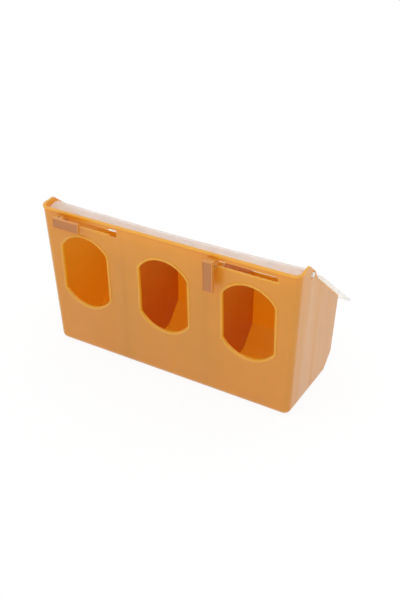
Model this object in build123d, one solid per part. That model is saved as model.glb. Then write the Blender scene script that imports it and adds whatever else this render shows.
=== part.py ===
from build123d import *
from math import cos, radians, sin, tan
import os

# Pigeon feeder trough: one moulded box with three feed openings, a hinged clear lid that closes
# the filling mouth, and two L-shaped hooks that slide in slots of the front wall and turn round.
# Lengths are in millimetres and angles in degrees. Everything is drawn with depth 0 at the outer
# face of the front wall and height 0 at the base, and moved at the end so that the origin is the
# middle of the flat base: +X along the trough, +Y from the front wall to the back wall, +Z up.

# Box
wall = 2.2
end_bay = 46.9
end_draft = 2.5
front_height = 168.9
rim_rise = 7.5
ear_peak_depth = 20.5
ear_web = 0.36
ear_back_reach = 7.4
ear_root_run = 5.2
back_depth = 107.5
back_lean = 2.6
lid_slope = 41.3
heel_height = 25.4
heel_angle = 47.6
front_corner_radius = 8.0
back_corner_radius = 3.5
bottom_edge_radius = 7.8
foot_radius = 20.0
heel_radius = 6.0
ear_peak_radius = 4.0
ear_back_radius = 4.0
ear_root_radius = 3.0
mouth_clearance = 37.0

# Raised edge round the front rim
rim_bead_height = 1.9
rim_bead_proud = 0.8
rim_bead_end_depth = 12.0

# Partitions between the compartments
compartment_pitch = 100.0
partition_wall = 2.0
partition_rim_drop = 35.0
partition_drop = 1.0

# Feed openings
opening_count = 3
opening_width = 58.5
opening_arc_radius = 35.0
opening_arc_shift = 7.6
opening_slot_web = 9.8
opening_corner_radius = 4.0
opening_bead_width = 3.0
opening_bead_proud = 1.1
opening_bead_bevel = 0.8

# Hook slots in the front wall
slot_height = 6.4
slot_rim_drop = 9.2
slot_inner_reach = 45.0
slot_outer_reach = 31.5
notch_width = 10.0
notch_height = 9.6
slot_corner_radius = 0.5

# Lid hinge
hinge_setback = 8.4
hinge_drop = 1.2
hinge_pin_diameter = 5.5
hinge_pin_clearance = 0.08
hinge_pin_end_proud = 0.6
hinge_pin_end_rounding = 1.0
hinge_recess_diameter = 8.6
hinge_recess_depth = 0.8
hinge_lug_wall = 0.95
hinge_lug_thickness = 3.0

# Lid
lid_thickness = 2.2
lid_seat_gap = 0.3
lid_side_overhang = 4.1
lid_end_gap = 1.5
lid_back_overhang = 21.9
lid_shoulder_clearance = 0.3
lid_corner_radius = 4.0
lid_shoulder_radius = 1.0
lid_edge_rounding = 0.6
flap_angle = 13.5
flap_length = 15.4
flap_bend_setback = 6.4
flap_bend_radius = 14.0

# Hooks
hook_width = 12.0
hook_arm_length = 11.0
hook_length = 34.2
hook_front_reach = 11.0
hook_bar_thickness = 2.4
hook_wall_gap = 0.3
hook_corner_radius = 2.5
hook_tip_height = 1.2
hook_tip_length = 1.4
hook_panel_border = 1.1
hook_panel_depth = 0.4
left_hook_end_play = 2.3
left_hook_angle = 0.0
right_hook_angle = 90.0

# Stud, cross pin and runner that hold each hook in its slot
stud_head_gap = 0.2
stud_head_thickness = 1.5
stud_front_cover = 0.7
turning_clearance = 0.08
press_clearance = 0.05
cross_pin_diameter = 2.5
cross_pin_sink = 0.5
cross_pin_setback = 2.6
runner_wall = 0.52
runner_neck_setback = 0.4
runner_side_clearance = 0.1
runner_flange_gap = 0.4
runner_flange_thickness = 1.5
runner_play = 0.15

# Place of the outermost opening along the trough
outer_opening_place = (opening_count - 1) / 2 * compartment_pitch

# Lines of the box in side view, as depth and height, measured from the front rim
slope = radians(lid_slope)
slope_rate = tan(slope)
lean_rate = tan(radians(back_lean))
draft_rate = tan(radians(end_draft))
rim_rate = tan(radians(rim_rise))
ear_peak = (ear_peak_depth, front_height + ear_peak_depth * rim_rate)
ear_lift = (hinge_recess_diameter / 2 + ear_web) / cos(slope) - hinge_drop


def slope_height(depth):
    """Height of the sloping edge of the end walls at a depth."""
    return ear_peak[1] - ear_lift - (depth - ear_peak_depth) * slope_rate


def slope_depth(height):
    """Depth at which the sloping edge of the end walls has a height."""
    return ear_peak_depth + (ear_peak[1] - ear_lift - height) / slope_rate


def back_face_depth(height):
    """Depth of the outer face of the leaning back wall at a height."""
    return back_depth - (back_height - height) * lean_rate


def half_length(height):
    """Half the outer length of the box, which widens upwards by the draft."""
    return outer_opening_place + end_bay + height * draft_rate


back_height = slope_height(back_depth)
hinge_depth = ear_peak_depth + hinge_setback
hinge_height = slope_height(hinge_depth) - hinge_drop
ear_back_depth = hinge_depth + ear_back_reach
ear_root_depth = ear_back_depth + ear_root_run
ear_back = (ear_back_depth, slope_height(ear_back_depth) + ear_lift)
ear_root = (ear_root_depth, slope_height(ear_root_depth))
back_top = (back_depth, back_height)
heel = (back_face_depth(heel_height), heel_height)
foot = (heel[0] - heel_height / tan(radians(heel_angle)), 0.0)
base_depth = (bottom_edge_radius + foot[0] - foot_radius * tan(radians(heel_angle) / 2)) / 2
mouth_clear_height = front_height + mouth_clearance

# Slots hang from the rim, openings from the slots, and each slot lies over an outer opening
slot_centre_height = front_height - slot_rim_drop
slot_inner_end = outer_opening_place - slot_inner_reach
slot_outer_end = outer_opening_place + slot_outer_reach
opening_crown = opening_arc_shift + opening_arc_radius
opening_top = slot_centre_height - slot_height / 2 - opening_slot_web - opening_bead_width
opening_centre_height = opening_top - opening_crown
partition_height = front_height - partition_rim_drop

# Lid, from the hinge and from the edges that it covers
ear_root_reach = (ear_root_depth - hinge_depth) * cos(slope) + (hinge_height - ear_root[1]) * sin(slope)
lid_shoulder_reach = ear_root_reach + lid_shoulder_clearance
lid_reach = (back_depth - hinge_depth) / cos(slope) + lid_back_overhang
lid_half_length = half_length(ear_root[1]) + lid_side_overhang

# Runner, stud and cross pin, whose heads pass through the notch of the slot
runner_flange_length = notch_width - 2 * runner_flange_gap
runner_flange_height = notch_height - 2 * runner_flange_gap
runner_length = runner_flange_length - 2 * runner_neck_setback
runner_neck_height = slot_height - 2 * runner_side_clearance
stud_diameter = runner_neck_height - 2 * (runner_wall + turning_clearance)
stud_head_diameter = runner_flange_height - 2 * stud_head_gap
cross_pin_depth = hook_front_reach - hook_bar_thickness - cross_pin_setback
cross_pin_length = hook_width - 2 * cross_pin_sink
left_hook_position = left_hook_end_play + runner_length / 2 - slot_outer_end
right_hook_position = slot_inner_end + notch_width / 2


def inset_corner(before, corner, after, distance):
    """Corner of an anticlockwise outline after both of its sides move inwards."""
    first = (Vector(*corner) - Vector(*before)).normalized()
    second = (Vector(*after) - Vector(*corner)).normalized()
    first_inward = Vector(-first.Y, first.X)
    second_inward = Vector(-second.Y, second.X)
    share = distance / (1 + first_inward.dot(second_inward))
    moved = Vector(*corner) + (first_inward + second_inward) * share
    return (moved.X, moved.Y)


def lower_corners(inset):
    """Foot and heel corners of the side view, moved inwards."""
    above = (back_face_depth(mouth_clear_height), mouth_clear_height)
    return [inset_corner((0.0, 0.0), foot, heel, inset), inset_corner(foot, heel, above, inset)]


def side_prism(corners, radii, start, end):
    """Side view outline with rounded corners, drawn out along the trough."""
    outline = FilletPolyline(*corners, radius=radii, close=True)
    face = Plane.YZ * make_face(outline)
    return Pos(start, 0, 0) * extrude(face, end - start)


def side_body(inset, top_corners, top_radii):
    """Side view drawn out over the length of the box, reaching out in front of the front wall."""
    reach = half_length(mouth_clear_height)
    corners = [(-wall, inset)] + lower_corners(inset) + top_corners
    radii = [0, foot_radius - inset, heel_radius - inset] + top_radii
    return side_prism(corners, radii, -reach, reach)


def end_view(inset):
    """Drafted ends and bottom of the box, drawn out to the front and the back."""
    top = mouth_clear_height
    low = half_length(inset) - inset
    high = half_length(top) - inset
    outline = Polyline((-low, inset), (low, inset), (high, top), (-high, top), close=True)
    return extrude(Plane.XZ * make_face(outline), 2 * top, both=True)


def upright_edges(block):
    """Edges of a block that run from its bottom to its top, from front to back."""
    tall = block.edges().filter_by(lambda edge: edge.bounding_box().size.Z > mouth_clear_height / 2)
    return tall.sort_by(Axis.Y)


def front_body(inset):
    """Front, ends and bottom of the box with their rounded edges, open-ended to the back."""
    reach = mouth_clear_height
    block = end_view(inset) & Pos(0, inset, 0) * Box(
        4 * reach, reach, 2 * reach, align=(Align.CENTER, Align.MIN, Align.CENTER)
    )
    block = fillet(upright_edges(block)[:2], front_corner_radius - inset)
    bottom = block.edges().filter_by(lambda edge: edge.bounding_box().max.Z < inset + 0.01)
    rounded = bottom.filter_by(lambda edge: edge.center().Y < reach - wall)
    return fillet(rounded, bottom_edge_radius - inset)


def back_body(inset):
    """Leaning back wall of the box with its rounded upright corners, open to the front."""
    top = mouth_clear_height
    low = back_face_depth(0) - inset
    back = Polyline((-2 * wall, 0), (low, 0), (low + top * lean_rate, top), (-2 * wall, top), close=True)
    reach = 2 * half_length(top)
    block = end_view(inset) & Pos(-reach, 0, 0) * extrude(Plane.YZ * make_face(back), 2 * reach)
    return fillet(upright_edges(block)[-2:], back_corner_radius - inset)


def opening_outline():
    """Feed opening: straight sides joined by two flatter arcs, about its own centre."""
    half = opening_width / 2
    side = opening_arc_shift + (opening_arc_radius**2 - half**2) ** 0.5
    right = Line((half, -side), (half, side))
    upper = ThreePointArc((half, side), (0, opening_crown), (-half, side))
    left = Line((-half, side), (-half, -side))
    lower = ThreePointArc((-half, -side), (0, -opening_crown), (half, -side))
    face = make_face([right, upper, left, lower])
    return fillet(face.vertices(), opening_corner_radius)


def slot_outline():
    """Right-hand hook slot with its wider notch at the inner end, about its own centre line."""
    low, high = -slot_height / 2, slot_height / 2
    step = slot_inner_end + notch_width
    notch = notch_height / 2
    corners = [
        (slot_inner_end, -notch), (step, -notch), (step, low), (slot_outer_end, low),
        (slot_outer_end, high), (step, high), (step, notch), (slot_inner_end, notch),
    ]
    tight = slot_corner_radius
    end = runner_neck_height / 2
    radii = [tight, tight, tight, end, end, tight, tight, tight]
    return make_face(FilletPolyline(*corners, radius=radii, close=True))


def feed_opening_places():
    """Places of the feed openings along the trough."""
    return [number * compartment_pitch - outer_opening_place for number in range(opening_count)]


def partition_places():
    """Places of the partitions, half way between the openings."""
    places = feed_opening_places()
    return [(first + second) / 2 for first, second in zip(places, places[1:])]


def opening_bead():
    """Raised rounded edge round a feed opening, sunk into the wall that carries it."""
    face = offset(opening_outline(), opening_bead_width) - opening_outline()
    ring = extrude(Plane.XZ * face, opening_bead_proud) + extrude(Plane.XZ * face, -wall / 2)
    crest = ring.faces().sort_by(Axis.Y)[0]
    return chamfer(crest.edges(), opening_bead_bevel)


def partition(place):
    """Wall between two compartments, flat in front and sloping under the lid."""
    middle = wall / 2
    rear = back_face_depth(back_height) - middle
    top = [
        (rear, slope_height(rear) - partition_drop),
        (slope_depth(partition_height + partition_drop), partition_height),
        (middle, partition_height),
    ]
    corners = [(middle, middle)] + lower_corners(middle) + top
    radii = [bottom_edge_radius - middle, foot_radius - middle, heel_radius - middle, 0, 2, 0]
    start = place - partition_wall / 2
    return side_prism(corners, radii, start, start + partition_wall)


def rim_bead():
    """Thickened band below the rim, round the front and its corners, taller than the walls."""
    low = front_height - rim_bead_height
    end = rim_bead_end_depth
    top = mouth_clear_height
    corners = [(-2 * wall, low), (0, low), (end, low + end * rim_rate), (end, top), (-2 * wall, top)]
    reach = half_length(top) + wall
    return front_body(-rim_bead_proud) & side_prism(corners, [0, 0, 0, 0, 0], -reach, reach)


def feeder_box():
    """Box moulded in one piece: walls, ears, partitions, beads, feed openings and slots."""
    top = [back_top, ear_root, ear_back, ear_peak, (-wall, front_height - wall * rim_rate)]
    radii = [0, ear_root_radius, ear_back_radius, ear_peak_radius, 0]
    walls = (front_body(0) & back_body(0)) + rim_bead()
    outer = walls & side_body(0, top, radii)
    cavity_top = [(back_face_depth(mouth_clear_height) - wall, mouth_clear_height), (-wall, mouth_clear_height)]
    cavity = front_body(wall) & back_body(wall) & side_body(wall, cavity_top, [0, 0])
    box = outer - cavity
    for place in partition_places():
        box += partition(place)
    for place in feed_opening_places():
        centre = Pos(place, 0, opening_centre_height)
        box += centre * opening_bead()
        box -= centre * extrude(Plane.XZ * opening_outline(), 2 * wall, both=True)
    slot = Pos(0, 0, slot_centre_height) * extrude(Plane.XZ * slot_outline(), 2 * wall, both=True)
    box -= slot
    box -= slot.mirror(Plane.YZ)
    reach = half_length(hinge_height)
    hole = Pos(0, hinge_depth, hinge_height) * Rotation(0, 90, 0)
    box -= hole * Cylinder(hinge_pin_diameter / 2 + hinge_pin_clearance, 2 * reach + wall)
    for side in (-1, 1):
        recess = Cylinder(hinge_recess_diameter / 2, 2 * hinge_recess_depth)
        box -= Pos(side * reach, 0, 0) * hole * recess
    return box


def lid_section():
    """Side view of the lid: front flap, rounded bend and sloping sheet of even thickness."""
    flap = radians(flap_angle)
    raise_up = (lid_seat_gap + lid_thickness) / cos(slope)
    rear_depth = hinge_depth + (lid_reach + lid_corner_radius) * cos(slope)
    rear_top = (rear_depth, slope_height(rear_depth) + raise_up)
    bend_depth = hinge_depth - flap_bend_setback
    bend = (bend_depth, slope_height(bend_depth) + raise_up)
    front_top = (bend[0] - flap_length * cos(flap), bend[1] - flap_length * sin(flap))
    front_under = (front_top[0] + sin(flap) * lid_thickness, front_top[1] - cos(flap) * lid_thickness)
    rear_under = (rear_top[0] - sin(slope) * lid_thickness, rear_top[1] - cos(slope) * lid_thickness)
    bend_under = inset_corner(rear_top, bend, front_top, lid_thickness)
    corners = [front_under, bend_under, rear_under, rear_top, bend, front_top]
    edge = lid_edge_rounding
    return corners, [edge, flap_bend_radius - lid_thickness, 0, 0, flap_bend_radius, edge]


def lid_blank(narrow):
    """Flat outline of the lid, narrow between the ears and wide behind them, drawn out square to it."""
    sheet = Plane(origin=(0, hinge_depth, hinge_height), x_dir=(1, 0, 0), z_dir=(0, sin(slope), cos(slope)))
    wide = lid_half_length
    front = -2 * hinge_depth
    corners = [
        (-narrow, front), (narrow, front), (narrow, lid_shoulder_reach), (wide, lid_shoulder_reach),
        (wide, lid_reach), (-wide, lid_reach), (-wide, lid_shoulder_reach), (-narrow, lid_shoulder_reach),
    ]
    shoulder, corner = lid_shoulder_radius, lid_corner_radius
    radii = [0, 0, shoulder, shoulder, corner, corner, shoulder, shoulder]
    outline = FilletPolyline(*corners, radius=radii, close=True)
    return extrude(sheet * make_face(outline), mouth_clear_height, both=True)


def hinge_pin(start, end):
    """Hinge pin of the lid from its lug to its domed end."""
    pin = Cylinder(hinge_pin_diameter / 2, end - start)
    pin = fillet(pin.edges().sort_by(Axis.Z)[-1], hinge_pin_end_rounding)
    return Pos((start + end) / 2, hinge_depth, hinge_height) * Rotation(0, 90, 0) * pin


def hinge_lug(start, end):
    """Round lug under the lid that carries a hinge pin."""
    lug = Cylinder(hinge_pin_diameter / 2 + hinge_lug_wall, end - start)
    return Pos((start + end) / 2, hinge_depth, hinge_height) * Rotation(0, 90, 0) * lug


def lid():
    """Clear lid: sheet over the mouth, flap between the ears, hinge lugs and their pins."""
    corners, radii = lid_section()
    narrow = half_length(hinge_height) - wall - lid_end_gap
    lug_start = narrow - hinge_lug_thickness
    sheet = side_prism(corners, radii, -lid_half_length, lid_half_length) & lid_blank(narrow)
    fittings = hinge_lug(lug_start, narrow) + hinge_pin(lug_start, half_length(hinge_height) + hinge_pin_end_proud)
    return sheet + fittings + fittings.mirror(Plane.YZ)


def hook():
    """L-shaped hook about its turning axis, with the bar along +X and its face to the front."""
    outer = hook_length - hook_arm_length / 2
    inner_face = -hook_front_reach + hook_bar_thickness
    bar_face = Pos((outer - hook_arm_length / 2) / 2, 0) * RectangleRounded(hook_length, hook_width, 1)
    bar = Pos(0, inner_face, 0) * extrude(Plane.XZ * bar_face, hook_bar_thickness)
    arm_face = RectangleRounded(hook_arm_length, hook_width, hook_corner_radius)
    arm_depth = -hook_wall_gap - inner_face + hook_bar_thickness / 2
    arm = Pos(0, -hook_wall_gap, 0) * extrude(Plane.XZ * arm_face, arm_depth)
    tip = Pos(outer - hook_tip_length, inner_face - 1, 0) * Box(
        hook_tip_length, hook_tip_height + 1, hook_width / 2, align=(Align.MIN, Align.MIN, Align.CENTER)
    )
    shape = bar + arm + tip
    border = hook_panel_border
    panel_face = Pos((outer - hook_arm_length / 2) / 2, 0) * RectangleRounded(
        hook_length - 2 * border, hook_width - 2 * border, 0.5
    )
    shape -= Pos(0, -hook_front_reach, 0) * extrude(Plane.XZ * panel_face, hook_panel_depth, both=True)
    bore = stud_diameter / 2 + press_clearance
    bore_depth = hook_front_reach - hook_bar_thickness - stud_front_cover - hook_wall_gap
    shape -= Pos(0, -hook_wall_gap, 0) * extrude(Plane.XZ * Circle(bore), bore_depth)
    shape -= cross_hole()
    return shape


def cross_hole():
    """Hole for the cross pin, through arm and stud alike."""
    radius = cross_pin_diameter / 2 + press_clearance
    return Pos(0, -cross_pin_depth, 0) * Cylinder(radius, 2 * hook_width)


def hook_stud():
    """Round stud from the hook through the runner, with its head behind the front wall."""
    front_end = hook_front_reach - hook_bar_thickness - stud_front_cover - press_clearance
    head_front = wall + 2 * runner_play + runner_flange_thickness
    shaft = extrude(Plane.XZ * Circle(stud_diameter / 2), front_end)
    shaft += extrude(Plane.XZ * Circle(stud_diameter / 2), -head_front)
    head = Pos(0, head_front, 0) * extrude(Plane.XZ * Circle(stud_head_diameter / 2), -stud_head_thickness)
    return shaft + head - cross_hole()


def cross_pin():
    """Pin that locks the hook to its stud."""
    return Pos(0, -cross_pin_depth, 0) * Cylinder(cross_pin_diameter / 2, cross_pin_length)


def runner():
    """Shoe that fills the slot, with a flange behind the wall and a bore for the stud."""
    neck = extrude(Plane.XZ * SlotOverall(runner_length, runner_neck_height), -wall - runner_play)
    flange_face = RectangleRounded(runner_flange_length, runner_flange_height, 1)
    flange = Pos(0, wall + runner_play, 0) * extrude(Plane.XZ * flange_face, -runner_flange_thickness)
    bore = extrude(Plane.XZ * Circle(stud_diameter / 2 + turning_clearance), 4 * wall, both=True)
    return neck + flange - bore


def hook_set(side, place, angle):
    """Hook, stud, cross pin and runner of one slot at their place."""
    at_slot = Pos(place, 0, slot_centre_height)
    turned = at_slot * Rotation(0, angle, 0)
    return {
        side + "_hook": turned * hook(),
        side + "_hook_stud": turned * hook_stud(),
        side + "_hook_cross_pin": turned * cross_pin(),
        side + "_hook_runner": at_slot * runner(),
    }


parts = {"feeder_box": feeder_box(), "lid": lid()}
parts.update(hook_set("left", left_hook_position, left_hook_angle))
parts.update(hook_set("right", right_hook_position, right_hook_angle))

os.makedirs("parts", exist_ok=True)
for name, shape in parts.items():
    export_step(Pos(0, -base_depth, 0) * shape, f"parts/{name}.step")
    print(name, round(shape.volume), "mm3")
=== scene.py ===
import math
import bpy
import numpy as np
from mathutils import Matrix, Vector


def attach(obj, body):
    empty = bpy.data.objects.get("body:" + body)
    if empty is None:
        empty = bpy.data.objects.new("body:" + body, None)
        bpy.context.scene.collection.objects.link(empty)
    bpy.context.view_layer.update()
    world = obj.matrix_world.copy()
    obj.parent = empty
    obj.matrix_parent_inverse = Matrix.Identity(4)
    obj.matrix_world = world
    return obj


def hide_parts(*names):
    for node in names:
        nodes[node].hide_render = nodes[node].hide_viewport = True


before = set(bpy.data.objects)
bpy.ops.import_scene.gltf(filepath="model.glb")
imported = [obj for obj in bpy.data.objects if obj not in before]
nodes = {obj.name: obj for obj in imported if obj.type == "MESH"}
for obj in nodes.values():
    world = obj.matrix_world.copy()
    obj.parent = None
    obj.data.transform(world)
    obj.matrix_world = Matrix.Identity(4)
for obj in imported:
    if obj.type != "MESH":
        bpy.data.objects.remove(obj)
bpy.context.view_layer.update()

scene = bpy.context.scene
mmPerMetre = 1000  # the scene is in metres, and sizes here are in millimetres unless their name ends in M
print("frame loaded:", len(nodes), "nodes")


def linearColour(hexCode):
    # sRGB hex to linear: c / 12.92 below 0.04045, else ((c + 0.055) / 1.055) ** 2.4
    values = [int(hexCode[i:i + 2], 16) / 255 for i in (1, 3, 5)]
    return tuple(v / 12.92 if v <= 0.04045 else ((v + 0.055) / 1.055) ** 2.4 for v in values) + (1.0,)


def addNode(tree, kind, settings=None, inputs=None, stops=()):
    # one node with its settings; an input is a value or a socket to link from, stops fill a ramp's two ends
    # a Mix node's numbers are its inputs 2 and 3 and output 0, its colours the inputs 6 and 7 and output 2
    node = tree.nodes.new(kind)
    for name, value in (settings or {}).items():
        setattr(node, name, value)
    for name, value in (inputs or {}).items():
        socket = node.inputs[name]
        if isinstance(value, bpy.types.NodeSocket):
            tree.links.new(value, socket)
        else:
            socket.default_value = value
    for index, (place, colour) in enumerate(stops):
        node.color_ramp.elements[index].position = place
        node.color_ramp.elements[index].color = colour
    return node


def newMaterial(name):
    material = bpy.data.materials.new(name)
    material.use_nodes = True
    material.node_tree.nodes.clear()
    return material, material.node_tree


# where the box has its painted shade and painted highlights: across from the middle, depth from the middle
# of the base, which is less than frontDepth in the front wall alone, and height from the base
boxPlaces = {
    "frontDepth": -37.4,
    "pitch": 100.0,  # from one feed opening to the next, and from one partition to the other
    "halfWidth": 29.25,  # of a feed opening, whose arcs have their centres arcShift past its middle
    "centreHeight": 101.1,
    "arcRadius": 35.0,
    "arcShift": 7.6,
    "beadWidth": 2.6,
    "slotMiddle": 93.25,
    "slotHalfLength": 38.25,
    "slotHeight": 159.7,
    "slotHalfHeight": 3.2,
    "slotLip": 1.1,
    "fade": 0.3,  # how softly beads and lips end
    "rimHeight": 167.6,
    "rimLine": 165.5,
    "rimLineHalf": 0.5,
    # the end walls' top edges, on the ear and down the slope: how far they fall for each millimetre of
    # depth, their height at depth 0, and the depth behind which they count
    "earRate": -0.1317,
    "earLevel": 173.4,
    "earDepth": -60.0,
    "slopeRate": 0.8785,
    "slopeLevel": 147.7,
    "slopeDepth": 1.4,
    "shadeBandInner": 0.8,  # a partition's band of painted shade fades out between these distances from its middle
    "shadeBandOuter": 3.2,
    "shadeBandShare": 0.18,
    "partitionHalf": 1.6,
    "sidewaysLeast": 0.9,
}


def boxPaintedLight(tree, coordinates):
    # three masks, all painted light: painted shade under the rim and behind the partitions, a darker
    # painted shade on the partitions' faces, and painted highlights on the edges where they catch the light
    look = boxPlaces
    inMm = addNode(tree, "ShaderNodeVectorMath", {"operation": "SCALE"}, {
        "Vector": coordinates.outputs["Object"], "Scale": mmPerMetre})
    axes = addNode(tree, "ShaderNodeSeparateXYZ", {}, {"Vector": inMm.outputs["Vector"]})
    facing = addNode(tree, "ShaderNodeSeparateXYZ", {}, {"Vector": coordinates.outputs["Normal"]})
    found = {name: axes.outputs[name] for name in ("X", "Y", "Z")}
    found["facingX"] = facing.outputs["X"]
    shadeBandFade = look["shadeBandOuter"] - look["shadeBandInner"]
    # each row makes one Math node: its name, what it does, and its inputs, numbers or earlier rows' names
    rows = [
        ("inFront", "LESS_THAN", "Y", look["frontDepth"]),
        # outside an opening by the larger of the distances from its straight sides and from its arcs,
        # which are mirrored about the centre height
        ("fromMiddle", "WRAP", "X", look["pitch"] / 2, -look["pitch"] / 2),
        ("beside", "ABSOLUTE", "fromMiddle"),
        ("climb", "SUBTRACT", "Z", look["centreHeight"]),
        ("above", "ABSOLUTE", "climb"),
        ("raised", "SUBTRACT", "above", look["arcShift"]),
        ("besideSquared", "MULTIPLY", "beside", "beside"),
        ("reachSquared", "MULTIPLY_ADD", "raised", "raised", "besideSquared"),
        ("reach", "SQRT", "reachSquared"),
        ("pastSide", "SUBTRACT", "beside", look["halfWidth"]),
        ("pastArc", "SUBTRACT", "reach", look["arcRadius"]),
        ("outside", "MAXIMUM", "pastSide", "pastArc"),
        ("bead", "MULTIPLY_ADD", "outside", -1 / look["fade"], 1 + look["beadWidth"] / look["fade"]),
        # outside a slot's lower half by the larger of the distances past its ends and below its bottom
        ("mirrored", "ABSOLUTE", "X"),
        ("fromSlot", "SUBTRACT", "mirrored", look["slotMiddle"]),
        ("besideSlot", "ABSOLUTE", "fromSlot"),
        ("pastEnd", "SUBTRACT", "besideSlot", look["slotHalfLength"]),
        ("below", "SUBTRACT", look["slotHeight"] - look["slotHalfHeight"], "Z"),
        ("outsideSlot", "MAXIMUM", "pastEnd", "below"),
        ("lip", "MULTIPLY_ADD", "outsideSlot", -1 / look["fade"], 1 + look["slotLip"] / look["fade"]),
        ("lowerHalf", "LESS_THAN", "Z", look["slotHeight"]),
        ("lowerLip", "MULTIPLY", "lip", "lowerHalf"),
        ("rim", "GREATER_THAN", "Z", look["rimHeight"]),
        ("rimOrLip", "MAXIMUM", "rim", "lowerLip"),
        # painted highlight: the beads, the rim's top and the slots' lower lips are drawn lighter, as where
        # they catch the light
        ("anyEdge", "MAXIMUM", "bead", "rimOrLip"),
        ("frontEdge", "MULTIPLY", "anyEdge", "inFront"),
        # an end wall's top edges, on the ear and down the slope, are lines in side view: height plus
        # rate times depth above a level, behind a least depth
        ("earLine", "MULTIPLY_ADD", "Y", look["earRate"], "Z"),
        ("aboveEar", "GREATER_THAN", "earLine", look["earLevel"]),
        ("behindEar", "GREATER_THAN", "Y", look["earDepth"]),
        ("ear", "MULTIPLY", "aboveEar", "behindEar"),
        ("slopeLine", "MULTIPLY_ADD", "Y", look["slopeRate"], "Z"),
        ("aboveSlope", "GREATER_THAN", "slopeLine", look["slopeLevel"]),
        ("behindSlope", "GREATER_THAN", "Y", look["slopeDepth"]),
        ("slope", "MULTIPLY", "aboveSlope", "behindSlope"),
        # painted highlight on the end walls' top edges as well
        ("endEdge", "MAXIMUM", "ear", "slope"),
        ("paintedEdgeLight", "MAXIMUM", "frontEdge", "endEdge"),
        # painted shade: a fine dark line just below the rim, where the rim casts its shadow, and weak dark
        # bands where the partitions behind the front wall hold back the light that passes it
        ("line", "COMPARE", "Z", look["rimLine"], look["rimLineHalf"]),
        ("fromPartition", "SUBTRACT", "mirrored", look["pitch"] / 2),
        ("besidePartition", "ABSOLUTE", "fromPartition"),
        ("band", "MULTIPLY_ADD", "besidePartition", -1 / shadeBandFade, look["shadeBandOuter"] / shadeBandFade),
        ("weakBand", "MULTIPLY", "band", look["shadeBandShare"]),
        ("lineOrBand", "MAXIMUM", "line", "weakBand"),
        ("sunk", "MULTIPLY", "lineOrBand", "inFront"),
        # painted shade on the partitions' faces: a partition counts where it faces along the trough, so the
        # walls that it meets stay as they are
        ("inPartition", "LESS_THAN", "besidePartition", look["partitionHalf"]),
        ("sideways", "ABSOLUTE", "facingX"),
        ("isSide", "GREATER_THAN", "sideways", look["sidewaysLeast"]),
        ("partition", "MULTIPLY", "inPartition", "isSide"),
    ]
    clamped = ("bead", "lip", "band")
    for name, operation, *inputs in rows:
        node = addNode(tree, "ShaderNodeMath", {"operation": operation, "use_clamp": name in clamped},
                       {index: found.get(value, value) for index, value in enumerate(inputs)})
        found[name] = node.outputs["Value"]
    return {name: found[name] for name in ("sunk", "partition", "paintedEdgeLight")}


# the hooks' panel, set into the bar's face and drawn greyer and matt: only its floor lies at this depth
hookPlaces = {"floorDepth": -50.7723, "tolerance": 0.15}


def hookMarks(tree, coordinates):
    # one mask, the panel's floor
    axes = addNode(tree, "ShaderNodeSeparateXYZ", {}, {"Vector": coordinates.outputs["Object"]})
    floor = addNode(tree, "ShaderNodeMath", {"operation": "COMPARE"}, {
        0: axes.outputs["Y"], 1: hookPlaces["floorDepth"] / mmPerMetre,
        2: hookPlaces["tolerance"] / mmPerMetre})
    return {"sunk": floor.outputs["Value"]}


# orange polypropylene, injection moulded: light passes its thin walls, so the inside glows, and its smooth
# skin mirrors the bright room in a soft haze where it is seen at a flat angle; its edges get a painted
# highlight, a lighter tone and a stronger glow, the line under its rim and the bands behind the partitions
# a painted shade, and the partitions' faces a darker painted shade; the fine grain of the mould is far
# below a millimetre and is drawn coarser, so that it still shows
boxPlastic = {
    "darkTone": "#DAC13D",
    "lightTone": "#E1C73F",
    # painted shade: the dark line under the rim and the bands behind the partitions
    "sunkTone": "#C8AA35",
    # painted shade: the partitions' faces are drawn darker than the walls
    "partitionTone": "#D3A430",
    # painted highlight: the edges' lighter tone
    "paintedEdgeLightTone": "#F9D430",
    "glow": "#FFB62C",
    # painted shade in the partitions' glow as well
    "partitionGlow": "#F39722",
    # painted glow on the edges, stronger than the walls'
    "paintedEdgeLightGlow": "#FAC81D",
    "glowShare": 0.65,
    "mottleMm": 28.0,
    "mottleDetail": 3.0,
    "mottleRoughness": 0.6,
    "mottleEnds": (0.3, 0.7),
    "roughness": 0.33,
    "roughnessSpread": 0.05,
    "sunkRoughness": 0.36,
    "ior": 1.5,
    "shine": 0.7,
    "headOn": 0.055,  # share that the skin mirrors head on
    "slantPower": 3.5,
    "flowMm": 44.0,
    "flowStretch": 0.06,
    "flowBumpMm": 3.0,
    "grainMm": 0.8,
    "grainBumpMm": 0.012,
}
# the hooks are thicker and pass less light, and the panel in their bar's face is greyer and matt
hookPlastic = dict(
    boxPlastic, darkTone="#DD9533", lightTone="#E7A037", sunkTone="#BC8246", glowShare=0.3,
    sunkRoughness=0.6, mottleMm=3.0, flowMm=2.5, flowBumpMm=0.03)


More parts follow.
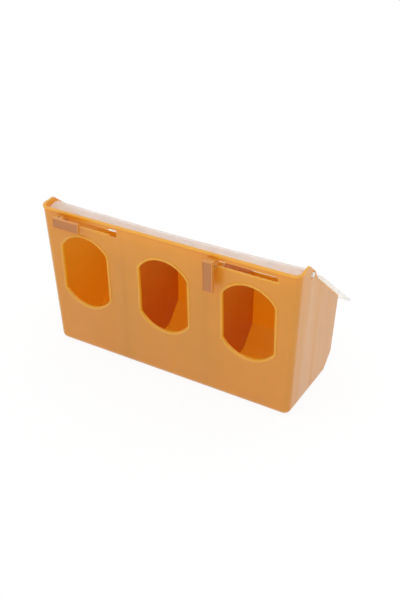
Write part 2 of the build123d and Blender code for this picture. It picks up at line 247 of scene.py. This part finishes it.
def mouldedPolypropylene(name, look, marks):
    material, tree = newMaterial(name)
    coordinates = addNode(tree, "ShaderNodeTexCoord")
    place = coordinates.outputs["Object"]
    mottle = addNode(tree, "ShaderNodeTexNoise", {}, {
        "Vector": place, "Scale": mmPerMetre / look["mottleMm"], "Detail": look["mottleDetail"],
        "Roughness": look["mottleRoughness"]})
    darkEnd, lightEnd = look["mottleEnds"]
    tone = addNode(tree, "ShaderNodeValToRGB", {}, {"Fac": mottle.outputs["Fac"]}, [
        (darkEnd, linearColour(look["darkTone"])), (lightEnd, linearColour(look["lightTone"]))])
    # each mask's tone lies over the plain one, and so does its glow where it has one: painted shade and
    # painted highlight on the box, the greyer panel on the hooks
    masks = marks(tree, coordinates)
    surface, passed = tone.outputs["Color"], linearColour(look["glow"])
    for mark, mask in masks.items():
        surface = addNode(tree, "ShaderNodeMix", {"data_type": "RGBA"}, {
            "Factor": mask, 6: surface, 7: linearColour(look[mark + "Tone"])}).outputs[2]
        if mark + "Glow" in look:
            passed = addNode(tree, "ShaderNodeMix", {"data_type": "RGBA"}, {
                "Factor": mask, 6: passed, 7: linearColour(look[mark + "Glow"])}).outputs[2]
    # the melt ran up the walls: long upright ripples, only seen in the haze
    upright = addNode(tree, "ShaderNodeMapping", {}, {
        "Vector": place, "Scale": (1.0, 1.0, look["flowStretch"])})
    flow = addNode(tree, "ShaderNodeTexNoise", {}, {
        "Vector": upright.outputs["Vector"], "Scale": mmPerMetre / look["flowMm"]})
    smooth = addNode(tree, "ShaderNodeMapRange", {}, {
        "Value": flow.outputs["Fac"], "To Min": look["roughness"] - look["roughnessSpread"],
        "To Max": look["roughness"] + look["roughnessSpread"]})
    rough = addNode(tree, "ShaderNodeMix", {}, {
        "Factor": masks["sunk"], 2: smooth.outputs["Result"], 3: look["sunkRoughness"]})
    grain = addNode(tree, "ShaderNodeTexNoise", {}, {
        "Vector": place, "Scale": mmPerMetre / look["grainMm"]})
    ripple = addNode(tree, "ShaderNodeBump", {}, {
        "Height": flow.outputs["Fac"], "Distance": look["flowBumpMm"] / mmPerMetre})
    bump = addNode(tree, "ShaderNodeBump", {}, {
        "Height": grain.outputs["Fac"], "Distance": look["grainBumpMm"] / mmPerMetre,
        "Normal": ripple.outputs["Normal"]})
    skin = addNode(tree, "ShaderNodeBsdfPrincipled", {}, {
        "Base Color": surface, "Roughness": rough.outputs[0], "IOR": look["ior"],
        "Specular IOR Level": look["shine"], "Normal": bump.outputs["Normal"]})
    # light that passes the wall, less what the skin mirrors: a share that grows from its head-on value
    # to 1 with a power of the surface's slant, the same from both sides of the wall
    glow = addNode(tree, "ShaderNodeBsdfTranslucent", {}, {"Color": passed})
    mirror = addNode(tree, "ShaderNodeBsdfGlossy", {}, {
        "Roughness": rough.outputs[0], "Normal": bump.outputs["Normal"]})
    slant = addNode(tree, "ShaderNodeLayerWeight", {}, {"Normal": bump.outputs["Normal"]})
    power = addNode(tree, "ShaderNodeMath", {"operation": "POWER"}, {
        0: slant.outputs["Facing"], 1: look["slantPower"]})
    sheen = addNode(tree, "ShaderNodeMapRange", {}, {
        "Value": power.outputs["Value"], "To Min": look["headOn"]})
    through = addNode(tree, "ShaderNodeMixShader", {}, {
        "Fac": sheen.outputs["Result"], 1: glow.outputs[0], 2: mirror.outputs[0]})
    wall = addNode(tree, "ShaderNodeMixShader", {}, {
        "Fac": look["glowShare"], 1: skin.outputs[0], 2: through.outputs[0]})
    addNode(tree, "ShaderNodeOutputMaterial", {}, {"Surface": wall.outputs[0]})
    return material


# clear polystyrene, moulded in an etched tool: most of the light passes, but what lies behind is blurred
# to a warm shade, and the sheet is slightly cloudy; the etching is drawn coarser than it is
lidPlastic = {
    "darkMilk": "#F2F2EE",
    "lightMilk": "#FBFCF8",
    "cloudMm": 18.0,
    "cloudEnds": (0.3, 0.7),
    "etchMm": 1.0,
    "etchBumpMm": 0.005,
    "roughness": 0.25,
    "ior": 1.59,
    "glowShare": 0.58,
    "clear": 0.36,
}
# the hinge pins are solid lumps of it, whiter and hardly clear
pinPlastic = dict(lidPlastic, clear=0.08, glowShare=0.25)


def etchedPolystyrene(name, look):
    material, tree = newMaterial(name)
    place = addNode(tree, "ShaderNodeTexCoord").outputs["Object"]
    cloud = addNode(tree, "ShaderNodeTexNoise", {}, {
        "Vector": place, "Scale": mmPerMetre / look["cloudMm"]})
    darkEnd, lightEnd = look["cloudEnds"]
    milk = addNode(tree, "ShaderNodeValToRGB", {}, {"Fac": cloud.outputs["Fac"]}, [
        (darkEnd, linearColour(look["darkMilk"])), (lightEnd, linearColour(look["lightMilk"]))])
    etching = addNode(tree, "ShaderNodeTexNoise", {}, {
        "Vector": place, "Scale": mmPerMetre / look["etchMm"]})
    bump = addNode(tree, "ShaderNodeBump", {}, {
        "Height": etching.outputs["Fac"], "Distance": look["etchBumpMm"] / mmPerMetre})
    skin = addNode(tree, "ShaderNodeBsdfPrincipled", {}, {
        "Base Color": milk.outputs["Color"], "Roughness": look["roughness"], "IOR": look["ior"],
        "Normal": bump.outputs["Normal"]})
    glow = addNode(tree, "ShaderNodeBsdfTranslucent", {}, {"Color": milk.outputs["Color"]})
    cloudy = addNode(tree, "ShaderNodeMixShader", {}, {
        "Fac": look["glowShare"], 1: skin.outputs[0], 2: glow.outputs[0]})
    clear = addNode(tree, "ShaderNodeBsdfTransparent")
    sheet = addNode(tree, "ShaderNodeMixShader", {}, {
        "Fac": look["clear"], 1: cloudy.outputs[0], 2: clear.outputs[0]})
    addNode(tree, "ShaderNodeOutputMaterial", {}, {"Surface": sheet.outputs[0]})
    return material


# plain drawn steel wire, cut to length: fine scratches that blur its shine, drawn coarser than they are,
# because a pin's end is only a few pixels wide; its colour is darker than bare steel, a painted shade for
# the dark hole that it sits in
pinSteel = {
    "colour": "#7F7972",
    "smoothest": 0.24,
    "roughest": 0.42,
    "scratchMm": 0.4,
    "scratchDetail": 3.0,
}


def drawnSteel(name, look):
    material, tree = newMaterial(name)
    place = addNode(tree, "ShaderNodeTexCoord").outputs["Object"]
    scratch = addNode(tree, "ShaderNodeTexNoise", {}, {
        "Vector": place, "Scale": mmPerMetre / look["scratchMm"], "Detail": look["scratchDetail"]})
    rough = addNode(tree, "ShaderNodeMapRange", {}, {
        "Value": scratch.outputs["Fac"], "To Min": look["smoothest"], "To Max": look["roughest"]})
    skin = addNode(tree, "ShaderNodeBsdfPrincipled", {}, {
        "Base Color": linearColour(look["colour"]), "Metallic": 1.0, "Roughness": rough.outputs["Result"]})
    addNode(tree, "ShaderNodeOutputMaterial", {}, {"Surface": skin.outputs[0]})
    return material


orangePolypropylene = mouldedPolypropylene("orangePolypropylene", boxPlastic, boxPaintedLight)
tanPolypropylene = mouldedPolypropylene("tanPolypropylene", hookPlastic, hookMarks)
hazyPolystyrene = etchedPolystyrene("hazyPolystyrene", lidPlastic)
thickPolystyrene = etchedPolystyrene("thickPolystyrene", pinPlastic)
steelWire = drawnSteel("steelWire", pinSteel)


def assign(nodeName, material):
    mesh = nodes[nodeName].data
    if not mesh.materials:
        mesh.materials.append(material)
    for index in range(len(mesh.materials)):
        mesh.materials[index] = material


assign("feeder_box", orangePolypropylene)
for side in ("left", "right"):
    assign(side + "_hook", tanPolypropylene)
    assign(side + "_hook_stud", orangePolypropylene)
    assign(side + "_hook_runner", orangePolypropylene)
    assign(side + "_hook_cross_pin", steelWire)
print("materials given to the nodes")


def addPiece(name, mesh, body, material, replaced=None):
    piece = bpy.data.objects.new(name, mesh)
    scene.collection.objects.link(piece)
    mesh.materials.append(material)
    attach(piece, body)
    if replaced:
        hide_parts(replaced)
    return piece


# the lid, its depths from the outer face of the front wall, as the box has them, and angles in degrees
lidShape = {
    "baseDepth": 40.172,  # of the middle of the base, which is the scene's origin
    "hingeDepth": 28.9,
    "hingeHeight": 158.016,
    "sheetRise": 2.301,  # of the sheet's middle surface above the hinge line
    "slope": 41.3,
    "flapAngle": 13.5,
    "flapLength": 15.4,
    "bendSetback": 6.4,
    "bendRadius": 12.9,
    "thickness": 2.2,
    "reach": 126.52,
    "halfFlap": 150.1,
    "halfSheet": 157.45,
    "shoulderReach": 16.28,
    "cornerRadius": 4.0,
    "sag": 2.8,
    "sagEnds": (30.0, 60.0),
    "edgeRounding": 0.55,
    "edgeAngle": 60,
    "edgeSegments": 3,
    "lugLength": 3.0,
    "lugRadius": 3.7,
    "lugRounding": 0.4,
    "pinRadius": 2.75,
    "pinLength": 5.1,
    "pinRounding": 1.0,
    "pinSharpAngle": 40,
    # how finely it is cut into faces
    "flapRows": 3,
    "bendRows": 13,
    "shoulderRows": 4,
    "slopeRows": 24,
    "cornerSteps": (30, 57, 90),
    "columns": 41,
    "pinSides": 32,
    "pinRoundingRows": 6,
}


def lidRows(look, flapLength, bendReach):
    # distances along the sheet: even steps on flap and slope, close ones round the bend, the shoulder
    # and the rear corners, where the half width follows the corner's quarter circle
    turn = math.radians(look["slope"] + look["flapAngle"])
    tangent = look["bendRadius"] * math.tan(turn / 2)
    flapEnd = flapLength - tangent
    bendEnd = flapEnd + look["bendRadius"] * turn
    # the slope is measured from the hinge's foot on the sheet, the bend's corner lies before it
    rear = bendEnd - tangent + bendReach + look["reach"]
    shoulder = rear - look["reach"] + look["shoulderReach"]
    radius = look["cornerRadius"]
    rows = np.concatenate([
        np.linspace(0, flapEnd, look["flapRows"]),
        np.linspace(flapEnd, bendEnd, look["bendRows"])[1:],
        np.linspace(bendEnd, shoulder, look["shoulderRows"])[1:],
        np.linspace(shoulder, rear - radius, look["slopeRows"])[1:],
        rear - radius + radius * np.sin(np.radians(look["cornerSteps"]))])
    inCorner = np.clip((rows - (rear - radius)) / radius, 0, 1)
    halfWidth = look["halfSheet"] - radius * (1 - np.sqrt(1 - inCorner ** 2))
    return rows, halfWidth, flapEnd, bendEnd, np.argmin(np.abs(rows - shoulder))


def lidMesh(look, flapLength, bendReach):
    # the sheet's middle surface: depth and height come from the turning direction along the sheet
    # (each step is a chord of its arc), the width from columns that follow the half width,
    # and the sag is a parabola along the ridge that fades out down the slope
    slope, flap = math.radians(look["slope"]), math.radians(look["flapAngle"])
    rows, halfWidth, flapEnd, bendEnd, shoulderRow = lidRows(look, flapLength, bendReach)
    heading = np.interp(rows, [flapEnd, bendEnd], [flap, -slope])
    middle, half = (heading[1:] + heading[:-1]) / 2, (heading[1:] - heading[:-1]) / 2
    chord = np.diff(rows) * np.sinc(half / math.pi)
    depth = np.concatenate([[0], np.cumsum(chord * np.cos(middle))])
    height = np.concatenate([[0], np.cumsum(chord * np.sin(middle))])
    rearDepth = look["hingeDepth"] + look["reach"] * math.cos(slope) + look["sheetRise"] * math.sin(slope)
    rearHeight = look["hingeHeight"] - look["reach"] * math.sin(slope) + look["sheetRise"] * math.cos(slope)
    depth += rearDepth - depth[-1]
    height += rearHeight - height[-1]
    inner = np.linspace(-1, 1, look["columns"]) * look["halfFlap"]
    columns = np.concatenate([[-look["halfSheet"]], inner, [look["halfSheet"]]])
    across = columns[None, :] * (halfWidth / look["halfSheet"])[:, None]
    start, end = look["sagEnds"]
    fade = np.clip((end - depth) / (end - start), 0, 1)
    fade = fade * fade * (3 - 2 * fade)
    sag = look["sag"] * np.clip(1 - (across / look["halfFlap"]) ** 2, 0, 1) * fade[:, None]
    behind = np.broadcast_to(depth[:, None] - look["baseDepth"], across.shape)
    points = np.stack([across, behind, height[:, None] - sag], -1)
    # a face between each four points, but beside the flap and the ears only behind the shoulder
    count = len(columns)
    row, column = np.meshgrid(np.arange(len(rows) - 1), np.arange(count - 1), indexing="ij")
    beside = (column == 0) | (column == count - 2)
    corner = (row * count + column)[~(beside & (row < shoulderRow))]
    faces = np.stack([corner, corner + 1, corner + count + 1, corner + count], -1)
    used, faces = np.unique(faces, return_inverse=True)
    mesh = bpy.data.meshes.new("lid_sheet")
    mesh.from_pydata((points.reshape(-1, 3)[used] / mmPerMetre).tolist(), [], faces.reshape(-1, 4).tolist())
    mesh.shade_smooth()
    return mesh


def makeLid(look):
    # the top line's corner lies bendSetback in front of the hinge, and the middle line's corner half a
    # thickness in from it, along the line that halves the bend
    slope, flap = math.radians(look["slope"]), math.radians(look["flapAngle"])
    half = look["thickness"] / 2
    topCorner = np.array([-look["bendSetback"], look["bendSetback"] * math.tan(slope)
                          + (look["sheetRise"] + half) / math.cos(slope)])
    upRear = np.array([math.sin(slope), math.cos(slope)])
    upFlap = np.array([-math.sin(flap), math.cos(flap)])
    corner = topCorner - half * (upRear + upFlap) / (1 + upRear @ upFlap)
    bendReach = -(corner @ np.array([math.cos(slope), -math.sin(slope)]))
    flapLength = look["flapLength"] - half * math.tan((slope + flap) / 2)
    mesh = lidMesh(look, flapLength, bendReach)
    piece = addPiece("lid_sheet", mesh, "lid", hazyPolystyrene, "lid")
    wall = piece.modifiers.new("thickness", "SOLIDIFY")
    wall.thickness = look["thickness"] / mmPerMetre
    wall.offset = 0
    wall.use_even_offset = True
    edges = piece.modifiers.new("softEdges", "BEVEL")
    edges.width = look["edgeRounding"] / mmPerMetre
    edges.segments = look["edgeSegments"]
    edges.limit_method = "ANGLE"
    edges.angle_limit = math.radians(look["edgeAngle"])
    edges.harden_normals = True


makeLid(lidShape)


def turnedPiece(profile, side, look):
    # a profile of (distance along the axis, radius) turned about the hinge line, with flat ends
    profile = np.array(profile)
    turn = np.linspace(0, 2 * math.pi, look["pinSides"] + 1)[:-1]
    along = np.repeat(profile[:, :1], len(turn), 1) * side
    depth = look["hingeDepth"] - look["baseDepth"] + profile[:, 1:] * np.cos(turn * side)
    height = look["hingeHeight"] + profile[:, 1:] * np.sin(turn * side)
    points = np.stack([along, depth, height], -1).reshape(-1, 3) / mmPerMetre
    row, column = np.meshgrid(np.arange(len(profile) - 1), np.arange(len(turn)), indexing="ij")
    following = (column + 1) % len(turn)
    first, second = row * len(turn) + column, row * len(turn) + following
    faces = np.stack([first, second, second + len(turn), first + len(turn)], -1).reshape(-1, 4).tolist()
    last = (len(profile) - 1) * len(turn)
    faces += [list(range(len(turn)))[::-1], list(range(last, last + len(turn)))]
    return points, faces


def makeLidPins(look):
    # the lug with its edges cut off, then the pin with its end rounded by a quarter circle
    lugRadius, lugRounding = look["lugRadius"], look["lugRounding"]
    lugEnd = look["halfFlap"]
    start, end = lugEnd - look["lugLength"], lugEnd + look["pinLength"]
    bend = np.linspace(0, math.pi / 2, look["pinRoundingRows"])
    rounding = look["pinRounding"]
    profile = [(start, lugRadius - lugRounding), (start + lugRounding, lugRadius),
               (lugEnd - lugRounding, lugRadius), (lugEnd, lugRadius - lugRounding),
               (lugEnd, look["pinRadius"])]
    profile += list(zip(end - rounding + rounding * np.sin(bend),
                        look["pinRadius"] - rounding + rounding * np.cos(bend)))
    leftPoints, leftFaces = turnedPiece(profile, -1, look)
    rightPoints, rightFaces = turnedPiece(profile, 1, look)
    rightFaces = [[index + len(leftPoints) for index in face] for face in rightFaces]
    mesh = bpy.data.meshes.new("lid_pins")
    mesh.from_pydata(np.concatenate([leftPoints, rightPoints]).tolist(), [], leftFaces + rightFaces)
    mesh.shade_smooth()
    mesh.set_sharp_from_angle(angle=math.radians(look["pinSharpAngle"]))
    addPiece("lid_pins", mesh, "lid", thickPolystyrene)


makeLidPins(lidShape)
print("lid made")


# the photograph's camera, solved from the edges of trough, hooks and lid together
cameraView = {
    "placeM": (0.45318, -0.69777, 0.60172),
    "right": (0.85551, 0.51746, -0.01873),
    "up": (-0.26352, 0.46623, 0.8445),
    "forward": (-0.44573, 0.71754, -0.53523),
    "lensMm": 54.439,
    "sensorHeightMm": 36.0,
}


def makeCamera(view):
    data = bpy.data.cameras.new("photoCamera")
    data.sensor_fit = "VERTICAL"
    data.sensor_height = view["sensorHeightMm"]
    data.lens = view["lensMm"]
    camera = bpy.data.objects.new("photoCamera", data)
    scene.collection.objects.link(camera)
    axes = Matrix((view["right"], view["up"], [-c for c in view["forward"]])).transposed()
    camera.matrix_world = Matrix.Translation(view["placeM"]) @ axes.to_4x4()
    scene.camera = camera


makeCamera(cameraView)


# plain white studio: pale floor, even world light and three large soft lamps
studio = {
    "floor": "#FFFFFF",
    "floorHalfM": 6.0,
    "floorRoughness": 0.9,
    "floorWhite": 0.9,  # share of plain white that the camera sees, the rest keeps the object's shadow
    "worldStrength": 0.87,
    "lampTargetM": (0, 0, 0.08),
    "lamps": (  # name, place and width in metres, power in watts
        ("keyLamp", (-0.5, -1.6, 1.7), 1.6, 6.0),
        ("topLamp", (0.0, 0.3, 2.2), 2.2, 6.0),
        ("backLamp", (0.5, 1.7, 1.0), 1.8, 7.0),
    ),
}
plainWhite = (1, 1, 1, 1)


def seenRays(tree):
    # 1 for rays from the camera and for those that a shiny or clear surface sends on, else 0
    ray = addNode(tree, "ShaderNodeLightPath")
    sentOn = addNode(tree, "ShaderNodeMath", {"operation": "MAXIMUM"}, {
        0: ray.outputs["Is Glossy Ray"], 1: ray.outputs["Is Transmission Ray"]})
    seen = addNode(tree, "ShaderNodeMath", {"operation": "MAXIMUM"}, {
        0: ray.outputs["Is Camera Ray"], 1: sentOn.outputs["Value"]})
    return seen.outputs["Value"]


def makeFloor(look):
    half = look["floorHalfM"]
    mesh = bpy.data.meshes.new("floor")
    corners = [(-half, -half, 0), (half, -half, 0), (half, half, 0), (-half, half, 0)]
    mesh.from_pydata(corners, [], [(0, 1, 2, 3)])
    floor = bpy.data.objects.new("floor", mesh)
    scene.collection.objects.link(floor)
    material, tree = newMaterial("studioFloor")
    matt = addNode(tree, "ShaderNodeBsdfPrincipled", {}, {
        "Base Color": linearColour(look["floor"]), "Roughness": look["floorRoughness"]})
    white = addNode(tree, "ShaderNodeEmission", {}, {"Color": plainWhite, "Strength": 1.0})
    share = addNode(tree, "ShaderNodeMath", {"operation": "MULTIPLY"}, {
        0: seenRays(tree), 1: look["floorWhite"]})
    mixed = addNode(tree, "ShaderNodeMixShader", {}, {
        "Fac": share.outputs["Value"], 1: matt.outputs[0], 2: white.outputs[0]})
    addNode(tree, "ShaderNodeOutputMaterial", {}, {"Surface": mixed.outputs[0]})
    mesh.materials.append(material)


def makeWorld(look):
    world = bpy.data.worlds.new("studioWorld")
    world.use_nodes = True
    scene.world = world
    tree = world.node_tree
    tree.nodes.clear()
    light = addNode(tree, "ShaderNodeBackground", {}, {
        "Color": plainWhite, "Strength": look["worldStrength"]})
    white = addNode(tree, "ShaderNodeBackground", {}, {"Color": plainWhite, "Strength": 1.0})
    mixed = addNode(tree, "ShaderNodeMixShader", {}, {
        "Fac": seenRays(tree), 1: light.outputs[0], 2: white.outputs[0]})
    addNode(tree, "ShaderNodeOutputWorld", {}, {"Surface": mixed.outputs[0]})


def makeLamp(name, place, width, power, target):
    data = bpy.data.lights.new(name, "AREA")
    data.shape = "SQUARE"
    data.size = width
    data.energy = power
    lamp = bpy.data.objects.new(name, data)
    scene.collection.objects.link(lamp)
    lamp.location = place
    lamp.rotation_euler = (Vector(place) - Vector(target)).to_track_quat("Z", "Y").to_euler()


makeFloor(studio)
makeWorld(studio)
for lamp in studio["lamps"]:
    makeLamp(*lamp, studio["lampTargetM"])
scene.view_settings.view_transform = "Standard"
print("studio ready")
